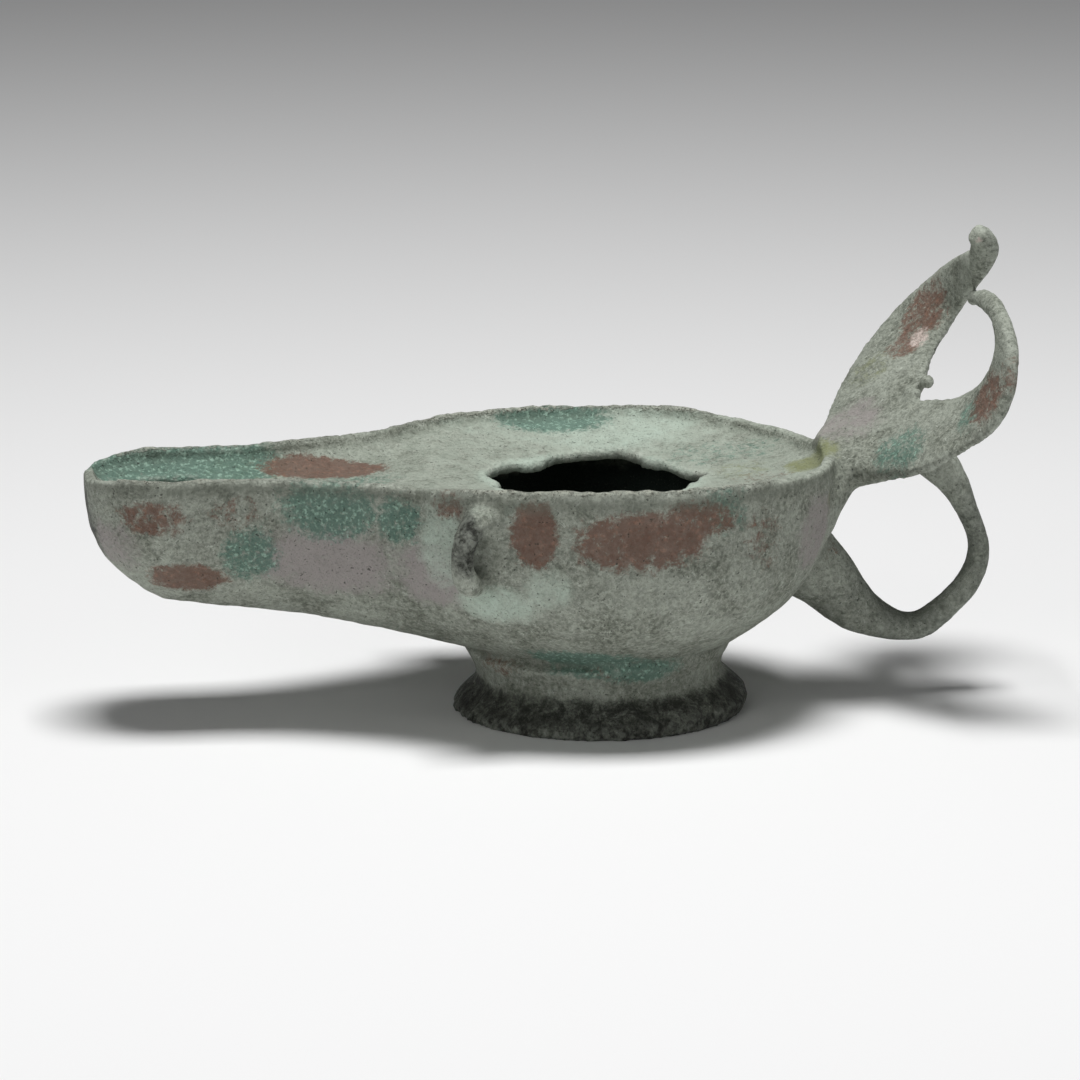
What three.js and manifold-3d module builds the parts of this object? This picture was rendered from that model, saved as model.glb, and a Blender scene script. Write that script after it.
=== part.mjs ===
// A Roman oil lamp in cast bronze, one casting: a round bowl on a splayed foot ring, a long blunt nozzle with
// its wick hole, a dished top with a broken filling hole, a finger ring and a crescent behind, and a suspension
// lug on each side. Millimetres, +Z up, nozzle towards -X. Built about the foot's axis, then set down centred.
import * as THREE from 'three';
import { mergeVertices } from 'three/addons/utils/BufferGeometryUtils.js';
import { LoftGeometry } from 'three/addons/geometries/LoftGeometry.js';
import Module from 'manifold-3d';

const wasm = await Module();
wasm.setup();

const { lerp, smoothstep, clamp, degToRad } = THREE.MathUtils;
const v2 = (x, y) => new THREE.Vector2(x, y);
const v3 = (x, y, z) => new THREE.Vector3(x, y, z);

// ---- driving dimensions -------------------------------------------------------------------------------
const WALL = 2.0; // cast wall of bowl and nozzle
const PLATE = 1.9; // thickness of the dished top

const FOOT = {
  radius: 25.2, neckRadius: 20.8, lean: 2.2, recessRadius: 19.6, recessTop: 16.0, recessDepth: 7.6,
};
const BOWL = {
  baseRadius: 20.5, baseHeight: 11.6, halfLength: 39.3, halfWidth: 36.3, rimHeight: 44.6, fullness: 3.5,
};
const NOZZLE = {
  tipX: -86.6, halfWidth: 14.4, tipHalfWidth: 2.0, tipRound: 15, flare: 12.5, flareFrom: -61, flareTo: -20,
  mergeFrom: -24, mergeTo: 4, belly: 2.6, shoulder: 2.1,
};
// How far the rim sinks below the bowl's: along the nozzle, at its tip, and at the back.
const SAG = { nozzle: 0.8, from: 20, to: 40, tip: 1.4, tipReach: 10, back: 1.4, backFrom: 16, backTo: 34 };
const MERGE = 6; // sharpness of the join between bowl and nozzle
const RIM = { width: 1.9, lip: 1.6 };
const DISH = {
  bowlDepth: 5.8, bowlSlope: 1.7, bowlRound: 0.9,
  channelDepth: 3.6, channelFrom: -40, channelTo: -18, channelEnd: 6,
};
// The filling hole's broken edge: a slit runs on towards the handle, a lobe is out of the +Y side.
const FILL_HOLE = {
  x: -1.5, y: 1, alongX: 17.0, alongY: 16.6, raggedness: 0.06,
  slit: { length: 3.6, angle: 0.18, spread: 0.09 },
  lobe: { length: 5.4, angle: 1.28, spread: 0.34 },
};
const WICK_HOLE = { x: -71.9, alongX: 11.2, alongY: 8.4 };
// Each lug's loop, from its lower root over the front to its upper root.
const LUG = {
  x: -25.2, low: 26.5, high: 42.5, stand: 6.2, turn: 33,
  wide: [4.6, 4.4, 4.2, 4.4, 6.2, 7.4],
  thick: [4.4, 4.1, 3.0, 3.3, 6.0, 8.0],
  sway: [0.2, 0, 0, 0.4, 1.8, 2.6],
};

// ---- helpers ------------------------------------------------------------------------------------------
function solid(geometry) {
  const bare = new THREE.BufferGeometry();
  bare.setAttribute('position', geometry.getAttribute('position'));
  bare.setIndex(geometry.getIndex());
  const merged = mergeVertices(bare, 1e-4);
  const corners = merged.getIndex().array;
  const kept = [];
  for (let i = 0; i < corners.length; i += 3) {
    const [a, b, c] = [corners[i], corners[i + 1], corners[i + 2]];
    if (a !== b && b !== c && c !== a) kept.push(a, b, c);
  }
  return new wasm.Manifold(new wasm.Mesh({
    numProp: 3,
    vertProperties: merged.getAttribute('position').array,
    triVerts: new Uint32Array(kept),
  }));
}

function geometryOf(manifold) {
  const mesh = manifold.getMesh();
  const geometry = new THREE.BufferGeometry();
  geometry.setAttribute('position', new THREE.BufferAttribute(new Float32Array(mesh.vertProperties), 3));
  geometry.setIndex(new THREE.BufferAttribute(mesh.triVerts, 1));
  geometry.computeVertexNormals();
  return geometry;
}

function loft(sections) {
  return solid(new LoftGeometry(sections, { capStart: true, capEnd: true }));
}

// Points spaced evenly along a polyline of vectors.
function evenly(points, count) {
  const reach = [0];
  for (let i = 1; i < points.length; i++) reach.push(reach[i - 1] + points[i].distanceTo(points[i - 1]));
  const total = reach[reach.length - 1];
  let k = 1;
  return Array.from({ length: count }, (_, i) => {
    const s = (total * i) / (count - 1);
    while (k < points.length - 1 && reach[k] < s) k++;
    const t = (s - reach[k - 1]) / Math.max(reach[k] - reach[k - 1], 1e-9);
    return points[k - 1].clone().lerp(points[k], clamp(t, 0, 1));
  });
}

// Stations from one x to another, closer together towards both ends.
function stations(from, to, count) {
  const eased = (i) => (1 - Math.cos((Math.PI * i) / (count - 1))) / 2;
  return Array.from({ length: count }, (_, i) => lerp(from, to, eased(i)));
}

// Height of a curve of (x, z) points at a given x; the points run in falling x.
function heightAt(points, x) {
  if (x >= points[0].x) return points[0].y;
  for (let i = 1; i < points.length; i++) {
    const [a, b] = [points[i - 1], points[i]];
    if (x >= b.x) return lerp(a.y, b.y, (x - a.x) / (b.x - a.x || 1));
  }
  return points[points.length - 1].y;
}

// ---- bowl and nozzle: one outline ---------------------------------------------------------------------
const KEEL = new THREE.SplineCurve([
  v2(-6, BOWL.baseHeight), v2(-19, 10.5), v2(-26, 12.0), v2(-38, 15.3), v2(-51, 18.1), v2(-64, 19.6),
  v2(-73.8, 21.4), v2(-81, 26.0), v2(-85.4, 32.2), v2(NOZZLE.tipX, 39.0),
]).getPoints(160);

function rimHeight(x) {
  const tip = 1 - clamp((x - NOZZLE.tipX) / SAG.tipReach, 0, 1);
  const nozzle = SAG.nozzle * smoothstep(-x, SAG.from, SAG.to) + SAG.tip * tip * tip;
  return BOWL.rimHeight - nozzle - SAG.back * smoothstep(x, SAG.backFrom, SAG.backTo);
}

function bowlHeightFraction(z) {
  return clamp((z - BOWL.baseHeight) / (BOWL.rimHeight - BOWL.baseHeight), 0, 1);
}

function bowlRadius(z) {
  return lerp(BOWL.baseRadius, BOWL.halfLength, 1 - Math.pow(1 - bowlHeightFraction(z), BOWL.fullness));
}

// Half-width of the nozzle at the rim, before it runs into the bowl.
function nozzleHalfWidth(x) {
  const flared = NOZZLE.halfWidth + NOZZLE.flare * smoothstep(x, NOZZLE.flareFrom, NOZZLE.flareTo);
  const tip = 1 - clamp((x - NOZZLE.tipX) / NOZZLE.tipRound, 0, 1);
  const rounded = lerp(NOZZLE.tipHalfWidth, flared, Math.sqrt(1 - tip * tip));
  return rounded * (1 - smoothstep(x, NOZZLE.mergeFrom, NOZZLE.mergeTo));
}

// Half-width of the lamp at station x and height z; inset moves the surface inwards.
function halfWidth(x, z, inset) {
  const radius = bowlRadius(z) - inset;
  const squash = lerp(1, BOWL.halfWidth / BOWL.halfLength, bowlHeightFraction(z));
  const bowl = squash * Math.sqrt(Math.max(radius * radius - x * x, 0));
  const keel = heightAt(KEEL, x) + inset;
  const rise = clamp((z - keel) / (rimHeight(x) - keel), 0, 1);
  const swell = Math.pow(1 - Math.pow(1 - rise, NOZZLE.belly), 1 / NOZZLE.shoulder);
  const nozzle = Math.max(nozzleHalfWidth(x) - inset, 0) * swell;
  return Math.pow(Math.pow(bowl, MERGE) + Math.pow(nozzle, MERGE), 1 / MERGE);
}

// The lowest height at which the lamp has any width at station x.
function floorHeight(x, inset) {
  const keel = x < 0 ? heightAt(KEEL, x) + inset : Infinity;
  const reach = (Math.abs(x) + inset - BOWL.baseRadius) / (BOWL.halfLength - BOWL.baseRadius);
  const rise = 1 - Math.pow(1 - clamp(reach, 0, 1), 1 / BOWL.fullness);
  return Math.min(keel, Math.max(lerp(BOWL.baseHeight, BOWL.rimHeight, rise), BOWL.baseHeight + inset));
}

// Height of the dished top at (x, y).
function dishHeight(x, y) {
  const across = clamp(Math.abs(y) / Math.max(halfWidth(x, rimHeight(x), RIM.width), 0.5), 0, 1);
  const out = clamp(Math.hypot(x / (BOWL.halfLength - RIM.width), y / (BOWL.halfWidth - RIM.width)), 0, 1);
  const funnel = DISH.bowlDepth * Math.pow(1 - Math.pow(out, DISH.bowlSlope), DISH.bowlRound);
  const end = clamp((x - NOZZLE.tipX - RIM.width) / DISH.channelEnd, 0, 1);
  const back = 1 - smoothstep(x, DISH.channelFrom, DISH.channelTo);
  const channel = DISH.channelDepth * (1 - Math.pow(across, 3)) * end * back;
  return rimHeight(x) - RIM.lip - Math.hypot(funnel, channel);
}

// The lamp's section at station x, from the -Y side down and round to the +Y side.
function flankSection(x, count, inset, topOf) {
  const low = floorHeight(x, inset);
  const edge = halfWidth(x, rimHeight(x), inset);
  const high = Math.max(topOf(x, edge), low + 0.2);
  const side = [v3(x, 0, low)];
  const steps = 80;
  for (let i = 0; i <= steps; i++) {
    const z = lerp(low, high, 1 - Math.cos((Math.PI / 2) * (i / steps)));
    side.push(v3(x, halfWidth(x, z, inset), z));
  }
  const spaced = evenly(side, count);
  const mirrored = spaced.slice(1).reverse().map((p) => v3(p.x, -p.y, p.z));
  return [...mirrored, ...spaced];
}

function hull() {
  const sections = stations(NOZZLE.tipX, BOWL.halfLength - 0.2, 40);
  return loft(sections.map((x) => flankSection(x, 13, 0, rimHeight)));
}

// Everything above the dished top inside the rim, lowered by a drop and ending at a level.
function aboveDish(inset, drop) {
  const across = 12;
  const sections = stations(NOZZLE.tipX + inset, BOWL.halfLength - inset - 0.1, 38).map((x) => {
    const edge = halfWidth(x, rimHeight(x), inset);
    const floor = Array.from({ length: across + 1 }, (_, i) => {
      const y = -edge * Math.cos((Math.PI * i) / across);
      return v3(x, y, dishHeight(x, y) - drop);
    });
    return [v3(x, -edge, BOWL.rimHeight + 12), ...floor, v3(x, edge, BOWL.rimHeight + 12)];
  });
  return loft(sections);
}

function cavity() {
  const sections = stations(NOZZLE.tipX + WALL, BOWL.halfLength - WALL - 0.3, 26);
  const inside = loft(sections.map((x) => flankSection(x, 11, WALL, rimHeight)));
  return inside.subtract(aboveDish(0.6, PLATE));
}

// ---- openings in the top ------------------------------------------------------------------------------
function fillHole() {
  const outline = new THREE.Shape();
  const points = 44;
  for (let i = 0; i < points; i++) {
    const a = (2 * Math.PI * i) / points;
    const ragged = Math.sin(3 * a + 0.6) + 0.6 * Math.sin(7 * a + 2.1) + 0.5 * Math.cos(11 * a);
    const bell = ({ length, angle, spread }) => length * Math.exp(-Math.pow((a - angle) / spread, 2));
    const lost = bell(FILL_HOLE.slit) + bell(FILL_HOLE.lobe);
    const reach = 1 + FILL_HOLE.raggedness * ragged;
    const x = (FILL_HOLE.alongX * reach + lost) * Math.cos(a);
    const y = (FILL_HOLE.alongY * reach + lost) * Math.sin(a);
    if (i === 0) outline.moveTo(x, y);
    else outline.lineTo(x, y);
  }
  outline.closePath();
  const cut = new THREE.ExtrudeGeometry(outline, { depth: 30, bevelEnabled: false });
  return solid(cut.translate(FILL_HOLE.x, FILL_HOLE.y, BOWL.rimHeight - 20));
}

function wickHole() {
  const { alongX, alongY } = WICK_HOLE;
  const outline = new THREE.Shape().absellipse(0, 0, alongX, alongY, 0, 2 * Math.PI, false, 0);
  const cut = new THREE.ExtrudeGeometry(outline, { depth: 20, bevelEnabled: false, curveSegments: 32 });
  return solid(cut.translate(WICK_HOLE.x, 0, BOWL.rimHeight - 12));
}

// ---- foot ---------------------------------------------------------------------------------------------
// The ring leans a little towards the nozzle and is ground flat below.
function foot() {
  const r = FOOT.radius;
  const n = FOOT.neckRadius;
  const overrun = 1.4;
  const profile = [
    v2(0, -overrun), v2(r - 1.2, -overrun), v2(r - 0.2, 0.2), v2(r, 1.0), v2(r - 0.3, 1.9), v2(r - 1.0, 2.7),
    v2(n + 1.7, 4.4), v2(n + 0.6, 5.4), v2(n + 0.1, 6.6), v2(n + 0.5, 8.6), v2(n + 1.2, 10.0), v2(n + 2.0, 11.4),
    v2(0, 13),
  ];
  const ring = new THREE.LatheGeometry(profile, 32).rotateX(Math.PI / 2).rotateY(-degToRad(FOOT.lean));
  return solid(ring).trimByPlane([0, 0, 1], 0);
}

function footRecess() {
  const top = FOOT.recessTop;
  const profile = [
    v2(0, -1), v2(FOOT.recessRadius + 1.2, -1), v2(FOOT.recessRadius, 0.8), v2(top + 1, FOOT.recessDepth - 1.4),
    v2(top - 1.4, FOOT.recessDepth), v2(0, FOOT.recessDepth),
  ];
  return solid(new THREE.LatheGeometry(profile, 24).rotateX(Math.PI / 2));
}

// ---- strips: ring, crescent, lugs ---------------------------------------------------------------------
// A strip swept through stations: each has a centre, two half-vectors across and through, and may be cupped.
function strip(frames, round = 12, square = 2.6) {
  const first = frames[0];
  const along = frames[1].centre.clone().sub(first.centre);
  const sense = first.across.clone().cross(first.through).dot(along) > 0 ? 1 : -1;
  const power = 2 / square;
  const sections = frames.map(({ centre, across, through, cup }) => Array.from({ length: round }, (_, i) => {
    const a = (2 * Math.PI * (i + 0.5)) / round;
    const u = Math.sign(Math.cos(a)) * Math.pow(Math.abs(Math.cos(a)), power);
    const w = Math.sign(Math.sin(a)) * Math.pow(Math.abs(Math.sin(a)), power) * sense;
    const point = centre.clone().addScaledVector(across, u).addScaledVector(through, w);
    return cup ? point.addScaledVector(cup, 1 - u * u) : point;
  }));
  return loft(sections);
}

// A value read off evenly spaced keys by smooth interpolation.
function keyed(keys, t) {
  const curve = new THREE.SplineCurve(keys.map((k, i) => v2(i, k)));
  return curve.getPoint(t).y;
}

// The finger ring's path in (x, z), from the bowl round below to the crescent, with its thickness and width.
const FINGER_RING = {
  path: [[33.0, 25.6], [37.3, 22.0], [43.4, 15.9], [47.5, 13.3], [51.8, 11.8], [55.6, 12.0], [61.0, 16.0],
    [64.3, 20.4], [65.3, 25.6], [63.9, 30.0], [62.3, 33.4], [60.2, 37.2], [52.4, 45.4]],
  thick: [14, 12.3, 8.8, 6.5, 4.8, 4.4, 4.1, 3.9, 3.8, 3.4, 4.0, 5.8, 9.0],
  wide: [16, 13.4, 10.0, 8.0, 6.6, 5.8, 5.4, 5.2, 5.2, 5.4, 6.2, 7.6, 9.2],
};

// A bar of oblong section along a path in the middle plane.
function bar({ path, thick, wide }, steps) {
  const curve = new THREE.CatmullRomCurve3(path.map(([x, z]) => v3(x, 0, z)));
  const frames = Array.from({ length: steps + 1 }, (_, i) => {
    const t = i / steps;
    const tangent = curve.getTangent(t);
    const through = v3(-tangent.z, 0, tangent.x).multiplyScalar(keyed(thick, t) / 2);
    return { centre: curve.getPoint(t), across: v3(0, keyed(wide, t) / 2, 0), through };
  });
  return strip(frames, 12, 2.3);
}

// One horn of the crescent, between its outer and its inner edge.
function horn(outer, inner, thick) {
  const edges = [outer, inner].map((list) => new THREE.CatmullRomCurve3(list.map((p) => v3(...p))));
  const steps = 20;
  const at = (t) => {
    const [o, i] = edges.map((e) => e.getPoint(t));
    return { o, i, c: o.clone().add(i).multiplyScalar(0.5) };
  };
  const frames = Array.from({ length: steps + 1 }, (_, k) => {
    const t = k / steps;
    const { o, i, c } = at(t);
    const tangent = at(Math.min(t + 0.02, 1)).c.sub(at(Math.max(t - 0.02, 0)).c).normalize();
    const across = i.clone().sub(o).multiplyScalar(0.5);
    const through = tangent.cross(across).normalize().multiplyScalar(keyed(thick, t) / 2);
    return { centre: c, across, through };
  });
  return strip(frames, 10, 2.8);
}

const FAR_HORN = {
  outer: [[43.8, 19.0, 48.3], [49.3, 26.0, 53.8], [55.2, 29.5, 59.6], [60.4, 26.2, 66.3], [63.5, 19.5, 71.0],
    [64.6, 11.8, 74.0], [65.4, 7.0, 75.6]],
  inner: [[49.0, -3.0, 46.5], [54.2, 0.5, 50.8], [60.2, 13.0, 57.4], [64.6, 14.5, 63.6], [65.8, 9.5, 68.0],
    [67.3, 4.8, 72.4], [67.3, 4.4, 74.8]],
  thick: [2.6, 3.0, 2.9, 2.8, 2.9, 3.2, 2.6],
};
const NEAR_HORN = {
  outer: [[48.0, -16.5, 41.0], [55.0, -24.0, 46.2], [60.0, -28.5, 51.0], [63.0, -30.0, 56.2], [64.2, -29.0, 62.6],
    [64.4, -23.6, 67.6], [64.8, -14.0, 70.6], [65.4, -2.0, 69.8], [66.2, 8.5, 67.8]],
  inner: [[48.0, 4.0, 47.0], [54.6, -1.0, 50.9], [59.0, -9.6, 53.1], [62.2, -17.0, 58.0], [63.1, -20.6, 63.2],
    [63.3, -18.0, 66.4], [63.2, -10.8, 67.8], [63.6, -2.0, 67.4], [64.6, 8.5, 65.6]],
  thick: [2.6, 3.0, 2.9, 2.8, 2.8, 2.6, 2.4, 2.4, 2.4],
};
// The far horn's tip, bent over forwards and broken off.
const FINIAL = {
  path: [[65.6, 7.8, 71.8], [66.5, 5.6, 75.5], [65.5, 4.3, 77.9], [64.2, 3.5, 78.6]],
  radius: [2.2, 2.5, 2.1, 1.8],
};
// The plate below the fork, from one outer edge across to the other.
const BLADE = {
  far: [[38.6, 5.5, 42.0], [41.6, 13.5, 45.0], [44.4, 20.0, 48.6], [46.6, 23.0, 51.0]],
  near: [[40.6, -6.5, 38.8], [46.0, -13.0, 40.4], [50.6, -19.0, 42.5], [54.0, -23.0, 45.0]],
  middle: [[39.6, 0.0, 40.6], [44.8, 0.0, 44.0], [49.6, 0.0, 47.4], [53.6, 0.0, 50.2]],
  thick: [8.0, 5.0, 3.6, 3.0],
};

function blade() {
  const [far, near, middle] = [BLADE.far, BLADE.near, BLADE.middle]
    .map((list) => new THREE.CatmullRomCurve3(list.map((p) => v3(...p))));
  const steps = 12;
  const frames = Array.from({ length: steps + 1 }, (_, k) => {
    const t = k / steps;
    const across = near.getPoint(t).sub(far.getPoint(t)).multiplyScalar(0.5);
    const centre = near.getPoint(t).add(far.getPoint(t)).multiplyScalar(0.5);
    const through = middle.getTangent(t).cross(across).normalize().multiplyScalar(keyed(BLADE.thick, t) / 2);
    return { centre, across, through, cup: middle.getPoint(t).sub(centre) };
  });
  return strip(frames, 14, 3);
}

function finial() {
  const path = new THREE.CatmullRomCurve3(FINIAL.path.map((p) => v3(...p)));
  const steps = 9;
  const frames = Array.from({ length: steps + 1 }, (_, k) => {
    const t = k / steps;
    const radius = keyed(FINIAL.radius, t);
    const across = path.getTangent(t).cross(v3(0, 1, 0)).normalize();
    const through = path.getTangent(t).cross(across).normalize();
    across.multiplyScalar(radius);
    through.multiplyScalar(radius * 0.85);
    return { centre: path.getPoint(t), across, through };
  });
  return strip(frames, 10, 2);
}

// The gusset that carries rim, crescent and ring together behind the bowl.
const STEM = {
  path: [[33, 34.5], [38.5, 38.4], [44.5, 42.4], [52, 47.4]],
  thick: [17, 10.2, 6.0, 3.6],
  wide: [28, 20, 14, 14],
};

function lug(side) {
  const turn = degToRad(LUG.turn);
  const middle = (LUG.low + LUG.high) / 2;
  const wall = halfWidth(LUG.x, middle, 0);
  const out = v3(-Math.sin(turn), side * Math.cos(turn), 0);
  const along = out.clone().cross(v3(0, 0, 1));
  const root = v3(LUG.x, side * (wall - 0.6), middle);
  const steps = 13;
  const frames = Array.from({ length: steps + 1 }, (_, i) => {
    const t = i / steps;
    const a = lerp(-1.9, 1.9, t);
    const half = keyed(LUG.thick, t) / 2;
    const radial = out.clone().multiplyScalar(Math.cos(a)).add(v3(0, 0, Math.sin(a)));
    const rim = root.clone()
      .addScaledVector(out, LUG.stand * Math.cos(a))
      .add(v3(keyed(LUG.sway, t), 0, ((LUG.high - LUG.low) / 2) * Math.sin(a)));
    const across = along.clone().multiplyScalar(keyed(LUG.wide, t) / 2);
    return { centre: rim.addScaledVector(radial, -half), across, through: radial.multiplyScalar(half) };
  });
  return strip(frames, 8, 2.2);
}

// ---- the casting --------------------------------------------------------------------------------------
const shell = hull().add(foot());
const fittings = bar(FINGER_RING, 28)
  .add(bar(STEM, 8))
  .add(blade())
  .add(finial())
  .add(horn(FAR_HORN.outer, FAR_HORN.inner, FAR_HORN.thick))
  .add(horn(NEAR_HORN.outer, NEAR_HORN.inner, NEAR_HORN.thick))
  .add(lug(-1))
  .add(lug(1));
const body = shell
  .add(fittings)
  .subtract(aboveDish(RIM.width, 0))
  .subtract(cavity())
  .subtract(footRecess())
  .subtract(fillHole())
  .subtract(wickHole());

const lamp = new THREE.Group();
const bronze = new THREE.MeshStandardMaterial({ color: 0x6f7d6e, roughness: 0.85, metalness: 0.25 });
const geometry = geometryOf(body);
geometry.computeBoundingBox();
const { min, max } = geometry.boundingBox;
geometry.translate(-(min.x + max.x) / 2, -(min.y + max.y) / 2, -min.z);
const mesh = new THREE.Mesh(geometry, bronze);
mesh.name = 'lamp_body';
lamp.add(mesh);
export default lamp;
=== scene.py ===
"""A Roman oil lamp in cast bronze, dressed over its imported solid: one casting with a many-coloured patina.

The casting is remeshed from the solid, its junctions are filleted, and its worn rims, its lumps and its
pitted skin are raised in the mesh. The patina is one procedural material led by masks laid on the mesh.
"""

import logging
import math
from dataclasses import dataclass, field
from enum import Enum

import bmesh
import bpy
import numpy as np
from mathutils import Matrix, Vector, noise
from mathutils.bvhtree import BVHTree


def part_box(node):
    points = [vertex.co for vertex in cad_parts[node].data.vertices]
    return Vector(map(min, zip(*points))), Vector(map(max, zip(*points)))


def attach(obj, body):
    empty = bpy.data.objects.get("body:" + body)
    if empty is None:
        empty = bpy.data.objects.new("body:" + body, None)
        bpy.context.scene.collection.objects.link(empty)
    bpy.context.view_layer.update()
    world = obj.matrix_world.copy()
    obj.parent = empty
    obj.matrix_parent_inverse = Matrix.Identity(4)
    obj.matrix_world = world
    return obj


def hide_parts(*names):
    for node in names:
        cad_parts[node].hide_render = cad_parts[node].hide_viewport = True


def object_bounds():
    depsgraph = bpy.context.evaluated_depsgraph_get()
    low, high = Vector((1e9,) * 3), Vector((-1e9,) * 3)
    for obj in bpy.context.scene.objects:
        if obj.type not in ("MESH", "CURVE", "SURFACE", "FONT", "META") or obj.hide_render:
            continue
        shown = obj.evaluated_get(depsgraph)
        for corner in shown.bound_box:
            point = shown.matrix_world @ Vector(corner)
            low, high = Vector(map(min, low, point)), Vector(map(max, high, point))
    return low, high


logging.basicConfig(level=logging.INFO, format="%(message)s")
log = logging.getLogger("oil_lamp")

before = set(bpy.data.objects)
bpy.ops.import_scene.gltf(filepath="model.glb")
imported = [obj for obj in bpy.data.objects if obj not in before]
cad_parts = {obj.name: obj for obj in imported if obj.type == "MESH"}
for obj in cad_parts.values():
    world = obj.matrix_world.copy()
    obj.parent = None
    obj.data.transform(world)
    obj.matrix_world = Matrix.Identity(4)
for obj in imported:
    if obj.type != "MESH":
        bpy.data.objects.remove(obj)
CAD_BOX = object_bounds()
MM = 0.001
NODE = "lamp_body"
TIP_TO_FOOT_AXIS = 86.6  # mm, from the nozzle's tip to the foot's axis


class Mask(Enum):
    """A tint of the patina or a painted shade, kept on the mesh as a point attribute of this name."""

    RED = "cuprite_red"
    TEAL = "teal"
    MINT = "pale_mint"
    # Dark metal, and painted shade on the foot, in the fork's pit and under the far horn's tip.
    DARK = "dark_metal_and_painted_shade"
    OLIVE = "olive"
    CRUST = "crust"
    MAUVE = "mauve"
    PALE = "scraped"
    EDGE = "worn_edge"
    # Painted shade in the surface's creases and under the rim.
    CREASE_SHADE = "painted_crease_shade"
    INSIDE = "inside"
    # Painted shade on the ring handle.
    RING_SHADE = "painted_ring_shade"
    DUST = "dished_top"


@dataclass(frozen=True)
class Patch:
    """One area of the patina, or a patch of painted shade.

    Args:
        mask: the tint that it lays down.
        centre: its middle, in millimetres in the row's frame.
        reach: how far it spreads, in millimetres.
        strength: how strongly it covers, up to 1.
        stretch: how much longer it is along X, Y and Z.
    """

    mask: Mask
    centre: tuple[float, float, float]
    reach: float
    strength: float = 1.0
    stretch: tuple[float, float, float] = (1.0, 1.0, 1.0)


@dataclass(frozen=True)
class Pit:
    """A pit in the casting.

    Args:
        centre: its middle, in millimetres in the row's frame.
        reach: how far it spreads, in millimetres.
        depth: how deep it is, in millimetres.
    """

    centre: tuple[float, float, float]
    reach: float
    depth: float


# At the crescent's fork, on the ring's lower arm, and under the bent tip of the far horn.
PITS: tuple[Pit, ...] = (
    Pit((63.0, 2.5, 55.0), 1.2, 1.3),
    Pit((46.0, -7.5, 20.5), 1.0, 0.8),
    Pit((74.4, 1.8, 73.8), 1.8, 0.8),
)
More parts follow.
